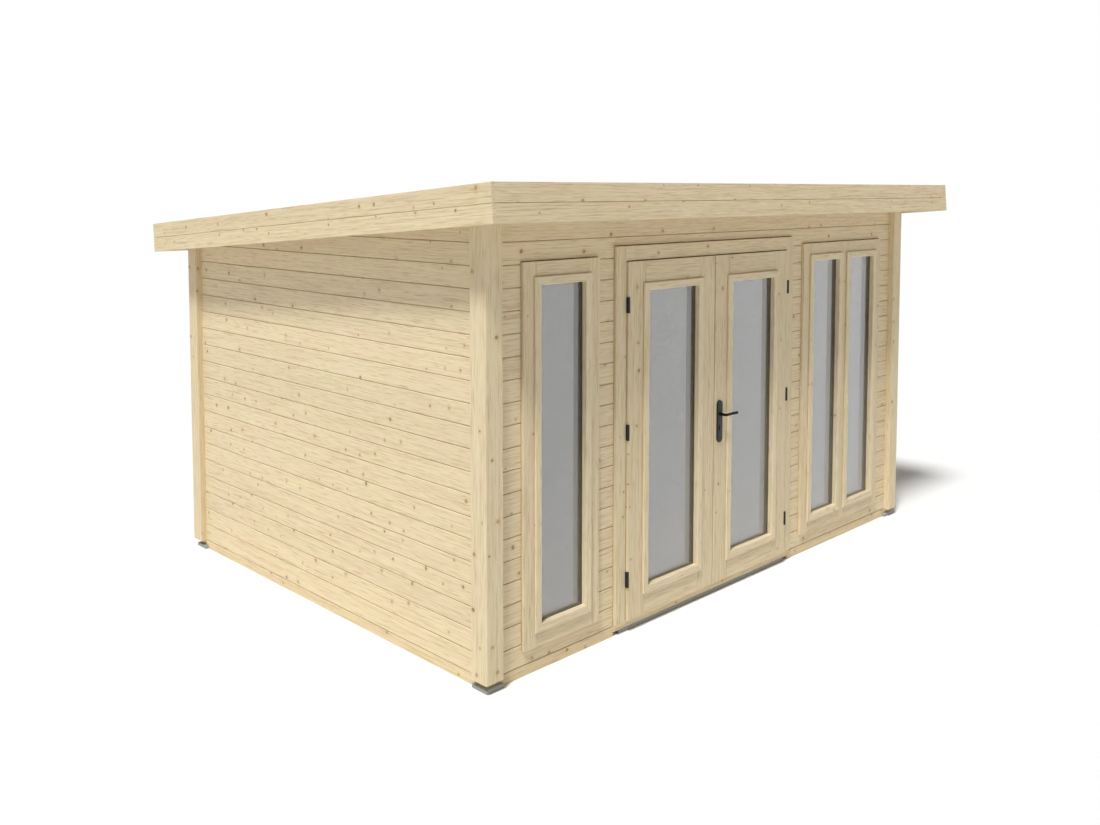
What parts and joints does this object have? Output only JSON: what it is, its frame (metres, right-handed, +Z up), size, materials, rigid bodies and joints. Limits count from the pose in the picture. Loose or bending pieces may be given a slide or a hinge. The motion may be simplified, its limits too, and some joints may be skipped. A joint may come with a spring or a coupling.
{
  "type": "garden office pod",
  "caption": "Timber garden office with a pent roof, board walls between corner posts, a glazed double door that swings out and narrow fixed windows beside it.",
  "frame": {"origin": "on the ground under the middle of the roof", "axes": "+X along the front to the right as seen from outside, +Y to the back, +Z up"},
  "size_m": [4.436, 3.4354, 2.4709],
  "materials": {
    "boards": "planed spruce, bare",
    "posts": "planed spruce, bare",
    "fascia": "planed spruce, bare",
    "joinery": "planed spruce, bare",
    "beads": "planed spruce, bare",
    "joists": "sawn spruce",
    "floor": "planed spruce boards",
    "glass": "clear",
    "spacer": "matt black",
    "ironmongery": "satin black powder coat",
    "lock_steel": "brushed",
    "pads": "matt grey",
    "membrane": "matt black sheet"
  },
  "bodies": {
    "pod": {"corner_pads": "pads", "sill_pad": "pads", "base_side_rails": "boards", "base_cross_rails": "boards", "floor_joists": "joists", "floor_deck": "floor", "corner_posts": "posts", "left_wall": "boards", "right_wall": "boards", "back_wall": "boards", "front_wall_piers": "boards", "front_wall_infill": "boards", "front_wall_head": "boards", "door_sill": "joinery", "door_jambs": "joinery", "door_head": "joinery", "window_stiles": "joinery", "window_rails": "joinery", "window_glass": "glass", "window_spacers": "spacer", "window_beads": "beads", "frame_hinges": "ironmongery", "roof_purlins": "joists", "roof_deck": "floor", "roof_membrane": "membrane", "side_fascia_upper": "fascia", "side_fascia_lower": "fascia", "end_fascia_upper": "fascia", "end_fascia_lower": "fascia"},
    "left_door": {"left_door_stiles": "joinery", "left_door_rails": "joinery", "left_door_glass": "glass", "left_door_spacer": "spacer", "left_door_beads": "beads", "left_door_hinges": "ironmongery"},
    "right_door": {"right_door_stiles": "joinery", "right_door_rails": "joinery", "right_door_glass": "glass", "right_door_spacer": "spacer", "right_door_beads": "beads", "right_door_hinges": "ironmongery", "handle_plates": "ironmongery", "lock_cylinder": "lock_steel"},
    "lever": {"door_lever": "ironmongery"}
  },
  "joints": [
    {"name": "left_door_swing", "type": "hinge", "parent": "pod", "child": "left_door", "pos_m": [-1.0105, -1.45033, 0.071], "axis": [0, 0, -1], "range_deg": [0, 110]},
    {"name": "right_door_swing", "type": "hinge", "parent": "pod", "child": "right_door", "pos_m": [0.5395, -1.45033, 0.071], "axis": [0, 0, 1], "range_deg": [0, 110]},
    {"name": "lever_turn", "type": "hinge", "parent": "right_door", "child": "lever", "pos_m": [-0.186, -1.45033, 1.098], "axis": [0, 1, 0], "range_deg": [0, 40], "stiffness_Nm_per_rad": 1.5, "springref_deg": -20.05}
  ]
}
